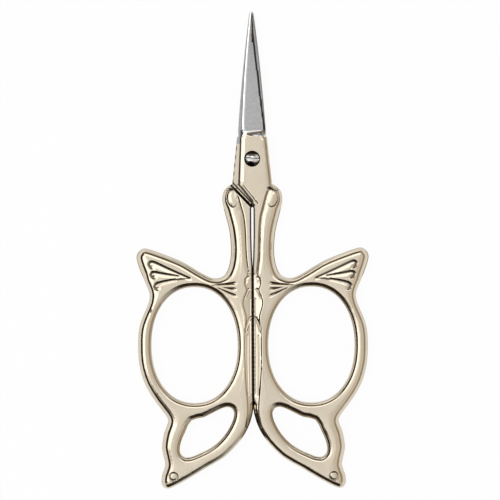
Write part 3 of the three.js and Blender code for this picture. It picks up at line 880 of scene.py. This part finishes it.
def ground_steel():
    material, shader, make = new_metal("ground_steel")
    place = make("ShaderNodeTexCoord").outputs["Object"]
    stretch = make("ShaderNodeMapping", Vector=place, Scale=(900.0, 2600.0, 300.0)).outputs["Vector"]
    lines = make("ShaderNodeTexNoise", Vector=stretch, Scale=1.0, Detail=4.0).outputs["Fac"]
    plug(shader.inputs["Base Color"], tarnished_and_shaded(make, colour_mix(make, lines, STEEL, STEEL_LINE)))
    rubbed(make, shader, lines, 0.3, 0.45)
    dented(make, shader, lines, 0.12, 0.00005)
    return material


def polished_steel(name, colour, least_rough, most_rough):
    material, shader, make = new_metal(name)
    place = make("ShaderNodeTexCoord").outputs["Object"]
    wear = make("ShaderNodeTexNoise", Vector=place, Scale=1800.0, Detail=5.0).outputs["Fac"]
    plug(shader.inputs["Base Color"], tarnished_and_shaded(make, colour))
    rubbed(make, shader, wear, least_rough, most_rough)
    return material


gold, steel = gold_plate(), ground_steel()
bright_steel = polished_steel("polished_run_out", (0.92, 0.91, 0.9, 1), 0.12, 0.2)
PLATED, GROUND, BRIGHT = 0, 1, 2
SIDE_BARE_FROM, BRIGHT_STRIP = 6.4, 0.03
FACING_UP, FACING_DOWN = 0.2, -0.9


def finish_half(mesh):
    """The ground blade is bare steel, its run-out and chamfer are bright, and the rest is plated."""
    for metal in (gold, steel, bright_steel):
        mesh.materials.append(metal)
    middles = np.array([face.center for face in mesh.polygons]) / MM
    tilt = np.array([face.normal.z for face in mesh.polygons])
    plan = middles[:, :2]
    x, y = plan.T
    ground = y > ground_foot(x) + BRIGHT_STRIP
    bare = np.where(tilt < FACING_DOWN, y > INNER_BARE_FROM, y > SIDE_BARE_FROM)
    bare = np.where(tilt > FACING_UP, ground, bare)
    on_chamfer = (y > BLADE_ROOT) & (x - spine_at(y) < chamfer_at(y))
    on_wall = ~ground & (run_out(plan) < half_thick - RIDGE_SOFTNESS)
    bright = (tilt > FACING_UP) & (on_chamfer | on_wall)
    metals = np.where(bright, BRIGHT, np.where(bare, GROUND, PLATED))
    mesh.polygons.foreach_set("material_index", metals.astype(np.int32))


def place_half(name, node, has_seat, turned):
    """One half, finished and put where its solid lies. The back one is turned over about its length."""
    mesh = half_mesh(name, has_seat)
    finish_half(mesh)
    corners = np.array([vertex.co for vertex in mesh.vertices])
    if turned:
        corners *= (-1, 1, -1)
    corners[:, 2] += middle_z * MM
    mesh.vertices.foreach_set("co", corners.ravel())
    mesh.update()
    piece = bpy.data.objects.new(name, mesh)
    bpy.context.scene.collection.objects.link(piece)
    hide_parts(node)
    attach(piece, node)


place_half("front_half_plated", "front_half", has_seat=True, turned=False)
place_half("back_half_plated", "back_half", has_seat=False, turned=True)

# The pivot screw
# A turned steel screw with a polished domed head, sunk in its seat, and a cut slot for adjusting the bite.
# Its shank is screwed into the back half and filed flush there.
screw_low, screw_high = (np.array(corner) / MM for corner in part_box("pivot_screw"))
HEAD = (screw_high[0] - screw_low[0]) / 2
HEAD_TOP = screw_high[2] - middle_z
HEAD_CLEARANCE = 0.1
HEAD_FOOT = half_thick - SEAT_DEPTH + HEAD_CLEARANCE
SHANK, SHANK_DRAFT = 1.25, 0.01
DOME_SLOPE, DOME_FROM, RIM_FROM, RIM_DROP = 0.384, 0.5, 0.94, 0.15
SLOT, SLOT_DEPTH, SLOT_TURN, SLOT_DRAFT = 0.55, 0.45, math.radians(-5), 0.02
SLOT_WALL = SLOT / 2
slot_along = np.array([math.cos(SLOT_TURN), math.sin(SLOT_TURN)])
slot_across = np.array([-slot_along[1], slot_along[0]])


def head_top(plan):
    """The domed head, rolled down at its rim and cut by the slot."""
    out = np.clip(np.linalg.norm(plan, axis=1) / HEAD, 0, 1)
    dome = HEAD * DOME_SLOPE * np.where(out < DOME_FROM, out**2 / (2 * DOME_FROM), out - DOME_FROM / 2)
    rim = RIM_DROP * ramp(out, RIM_FROM, 1) ** 2
    cut = abs(plan @ slot_across) < SLOT_WALL
    return np.where(cut, HEAD_TOP - SLOT_DEPTH, HEAD_TOP - dome - rim)


def head_underside(plan):
    shank = np.linalg.norm(plan, axis=1) < SHANK + SHANK_DRAFT / 2
    return np.where(shank, -half_thick, HEAD_FOOT)


# Painted shade lies along the foot of the slot's walls, and a painted dark rim lies on the head round a bright
# middle.
SLOT_SHADE, SLOT_SHADE_FADE = 0.24, 0.06
SLOT_FAR_SHADE, SLOT_FAR_SHARE = 0.12, 0.8
UNSHADED_ALONG, UNSHADED_ACROSS, UNSHADED_LENGTH, UNSHADED_WIDTH, UNSHADED_FADE = 0.1, 0.2, 0.95, 0.56, 0.1


def head_shade(plan):
    """Painted shade in the slot and a painted dark rim on the head, and none below it."""
    along, across = plan @ slot_along / HEAD, plan @ slot_across
    upper = ramp(across, SLOT_WALL - SLOT_SHADE, SLOT_WALL - SLOT_SHADE + SLOT_SHADE_FADE)
    lower = ramp(-across, SLOT_WALL - SLOT_FAR_SHADE, SLOT_WALL - SLOT_FAR_SHADE + SLOT_SHADE_FADE)
    corners = np.maximum(upper, SLOT_FAR_SHARE * lower) * (abs(across) < SLOT_WALL)
    out = np.hypot((along - UNSHADED_ALONG) / UNSHADED_LENGTH, (across - UNSHADED_ACROSS) / HEAD / UNSHADED_WIDTH)
    shaded_rim = ramp(out, 1 - UNSHADED_FADE, 1 + UNSHADED_FADE)
    return np.maximum(corners, DARKEST * shaded_rim), np.zeros(len(plan))


HEAD_RINGS, INNER_RING, OUTER_RING, RING_SPACING = 20, 0.06, 0.985, 0.1
WALL_CLEAR, SHANK_CLEAR, HEAD_CLEAR = 0.06, 0.04, 0.005
SLOT_POINTS, SHANK_SPACING, HEAD_SPACING = 60, 0.08, 0.06


def screw_mesh():
    """The screw over one round plan, with the walls of its slot and of its shank as near lines."""
    shares = np.linspace(INNER_RING, OUTER_RING, HEAD_RINGS)
    rings = np.concatenate([circle(HEAD * share, RING_SPACING) for share in shares])
    near_wall = abs(abs(rings @ slot_across) - SLOT_WALL) < WALL_CLEAR
    near_shank = abs(np.linalg.norm(rings, axis=1) - SHANK) < SHANK_CLEAR
    rings = rings[~(near_wall | near_shank)]
    run = np.linspace(-1, 1, SLOT_POINTS)[:, None] * slot_along
    lines = []
    for side in (-1, 1):
        for inset in (SLOT_SHADE, SLOT_SHADE - SLOT_SHADE_FADE, SLOT_DRAFT, -SLOT_DRAFT):
            edge = SLOT_WALL - inset
            reach = math.sqrt(HEAD**2 - edge**2) - HEAD_CLEAR
            lines.append(run * reach + side * edge * slot_across)
    for radius in (SHANK, SHANK + SHANK_DRAFT):
        ring = circle(radius, SHANK_SPACING)
        lines.append(np.concatenate([ring, ring[:1]]))
    rim = [circle(HEAD, HEAD_SPACING)]
    return pressed("pivot_screw_turned", rim, lines, rings, head_top, head_underside, middle_z, head_shade)


screw = bpy.data.objects.new("pivot_screw_turned", screw_mesh())
screw.data.materials.append(polished_steel("polished_screw_steel", (0.78, 0.76, 0.74, 1), 0.08, 0.18))
bpy.context.scene.collection.objects.link(screw)
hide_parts("pivot_screw")
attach(screw, "back_half")

# The table and the light
# A white table top and a white tent round it, one large soft light from the left, and cards beside the lens
# that draw the dark lines of the polished edges, as when such metal is photographed.
WHITE = (1, 1, 1, 1)
TABLE, TABLE_BELOW, TABLE_GLOW, PAPER = 6, 0.00005, 0.95, (0.86, 0.86, 0.86, 1)
TENT, TENT_FILL = 0.6, 0.62
TENT_LEFT, TENT_RIGHT, TENT_TURN = 1.22, 0.74, 0.35
centre = Vector((0, -0.024, 0))


def maths(make, operation, first, second):
    """The result of a sum on two values, each fixed or another node's."""
    node = make("ShaderNodeMath")
    node.operation = operation
    plug(node.inputs[0], first)
    plug(node.inputs[1], second)
    return node.outputs[0]


def camera_and_mirror(make):
    """1 for rays from the camera and for those that mirrors and glass send on, else 0."""
    rays = make("ShaderNodeLightPath").outputs
    seen = maths(make, "MAXIMUM", rays["Is Camera Ray"], rays["Is Glossy Ray"])
    return maths(make, "MAXIMUM", seen, rays["Is Transmission Ray"])


def bare_material(name):
    """A material with no surface yet, and the maker of its nodes."""
    material = bpy.data.materials.new(name)
    material.use_nodes = True
    material.node_tree.nodes.remove(material.node_tree.nodes["Principled BSDF"])
    return material, node_maker(material)


def mix_surfaces(material, make, share, first, second):
    """Gives a material the first surface, and the second one by its share."""
    mixed = make("ShaderNodeMixShader")
    for socket, value in zip(mixed.inputs, (share, first.outputs[0], second.outputs[0])):
        plug(socket, value)
    plug(material.node_tree.nodes["Material Output"].inputs["Surface"], mixed.outputs[0])


def table_top():
    bpy.ops.mesh.primitive_plane_add(size=TABLE, location=(0, 0, -TABLE_BELOW))
    table = bpy.context.object
    table.name = "table"
    material, make = bare_material("white_table")
    paper = make("ShaderNodeBsdfDiffuse", Color=PAPER)
    glow = make("ShaderNodeEmission", Color=WHITE, Strength=1.0)
    share = maths(make, "MULTIPLY", camera_and_mirror(make), TABLE_GLOW)
    mix_surfaces(material, make, share, paper, glow)
    table.data.materials.append(material)


def tent():
    """White all round: in mirrors brighter to the left, even to the camera, and dimmer as a light."""
    world = bpy.data.worlds.new("white_tent")
    bpy.context.scene.world = world
    world.use_nodes = True
    make = node_maker(world)
    towards = make("ShaderNodeSeparateXYZ", Vector=make("ShaderNodeTexCoord").outputs["Generated"])
    graded = make("ShaderNodeMapRange", Value=towards.outputs["X"], To_Min=TENT_LEFT, To_Max=TENT_RIGHT)
    plug(graded.inputs["From Min"], -TENT_TURN)
    plug(graded.inputs["From Max"], TENT_TURN)
    camera_ray = make("ShaderNodeLightPath").outputs["Is Camera Ray"]
    shown = make("ShaderNodeMapRange", Value=camera_ray, To_Min=graded.outputs["Result"], To_Max=1.0)
    seen = camera_and_mirror(make)
    level = make("ShaderNodeMapRange", Value=seen, To_Min=TENT_FILL, To_Max=shown.outputs["Result"])
    background = world.node_tree.nodes["Background"].inputs
    plug(background["Strength"], level.outputs["Result"])
    plug(background["Color"], WHITE)


def aimed(place):
    return (centre - place).to_track_quat("-Z", "Y")


def tent_place(towards, tilt, reach=TENT):
    """A place on the tent at a tilt from straight above, towards a compass direction in degrees from +X."""
    turn, lean = math.radians(towards), math.radians(tilt)
    aside = math.sin(lean)
    return centre + reach * Vector((aside * math.cos(turn), aside * math.sin(turn), math.cos(lean)))


def soft_light(name, towards, from_tilt, to_tilt, length, radiance):
    light = bpy.data.lights.new(name, "AREA")
    light.shape = "RECTANGLE"
    light.size = length
    light.size_y = TENT * math.radians(to_tilt - from_tilt)
    light.energy = radiance * math.pi * light.size * light.size_y
    lamp = bpy.data.objects.new(name, light)
    lamp.location = tent_place(towards, (from_tilt + to_tilt) / 2)
    lamp.rotation_mode = "QUATERNION"
    lamp.rotation_quaternion = aimed(lamp.location)
    lamp.visible_camera = False
    lamp.visible_glossy = False
    bpy.context.scene.collection.objects.link(lamp)


CARD_STEPS, SOFT_TURN, SOFT_TILT = 24, 10, 3


def card(name, from_turn, to_turn, from_tilt, to_tilt, colour, soft_turn=SOFT_TURN, reach=TENT):
    """A curved card of the tent with soft borders, which only mirrors see: a glowing card stands in for the
    reflection of a soft light, a dark one gives a dark reflection.
    """
    turns = np.linspace(from_turn - soft_turn, to_turn + soft_turn, CARD_STEPS)
    tilts = np.linspace(from_tilt - SOFT_TILT, to_tilt + SOFT_TILT, CARD_STEPS)
    places = [(turn, tilt) for tilt in tilts for turn in turns]
    faces = []
    for row in range(CARD_STEPS - 1):
        for i in range(row * CARD_STEPS, (row + 1) * CARD_STEPS - 1):
            faces.append((i, i + 1, i + CARD_STEPS + 1, i + CARD_STEPS))
    mesh = bpy.data.meshes.new(name)
    mesh.from_pydata([tent_place(turn, tilt, reach) for turn, tilt in places], [], faces)
    cover = mesh.attributes.new("cover", "FLOAT", "POINT")
    for corner, (turn, tilt) in zip(cover.data, places):
        across = min(turn - turns[0], turns[-1] - turn) / (2 * soft_turn)
        along = min(tilt - tilts[0], tilts[-1] - tilt) / (2 * SOFT_TILT)
        corner.value = min(across, 1) * min(along, 1)
    sheet = bpy.data.objects.new(name, mesh)
    bpy.context.scene.collection.objects.link(sheet)
    material, make = bare_material(name)
    open_air = make("ShaderNodeBsdfTransparent")
    glow = make("ShaderNodeEmission", Color=(*colour, 1), Strength=1.0)
    covered = make("ShaderNodeAttribute")
    covered.attribute_name = "cover"
    mix_surfaces(material, make, covered.outputs["Fac"], open_air, glow)
    mesh.materials.append(material)
    for ray in ("camera", "diffuse", "transmission", "volume_scatter", "shadow"):
        setattr(sheet, "visible_" + ray, False)


table_top()
tent()
soft_light("left_soft_light", towards=180, from_tilt=14, to_tilt=52, length=0.9, radiance=1.9)
# Each card spans compass directions from +X and tilts from straight above, in degrees.
DARK = (0.03, 0.02, 0.012)
card("left_white_card", 148, 215, 13, 42, (1.9, 1.9, 1.9))
card("left_dark_card", 132, 232, 47, 84, DARK)
card("near_dark_card", 212, 300, 25, 88, DARK, soft_turn=16, reach=0.97 * TENT)
card("far_white_card", 32, 134, 15, 32, (1.8, 1.8, 1.8))
card("far_dark_card", 48, 134, 37, 72, (0.14, 0.105, 0.07))
card("right_warm_card", -52, 20, 18, 48, (0.8, 0.74, 0.66))
card("right_brown_card", -48, 45, 58, 86, (0.4, 0.33, 0.25))

# The camera looks straight down on the closed scissors, as the photograph does.
PIXEL = 0.26
LENS, SENSOR, FRAME = 120, 36, 500
PIVOT_PIXEL = (252.1, 158.7)
ROLL = math.radians(-0.28)
camera = bpy.data.cameras.new("camera")
camera.lens, camera.sensor_width = LENS, SENSOR
camera.clip_start = 0.01
viewer = bpy.data.objects.new("camera", camera)
distance = FRAME * PIXEL * MM * LENS / SENSOR
viewer.rotation_euler = (0, 0, ROLL)
aside, below = (FRAME / 2 - PIVOT_PIXEL[0]) * PIXEL * MM, (PIVOT_PIXEL[1] - FRAME / 2) * PIXEL * MM
viewer.location = (
    aside * math.cos(ROLL) - below * math.sin(ROLL),
    aside * math.sin(ROLL) + below * math.cos(ROLL),
    half_high[2] * MM + distance,
)
bpy.context.scene.collection.objects.link(viewer)
bpy.context.scene.camera = viewer
bpy.context.scene.view_settings.view_transform = "Standard"
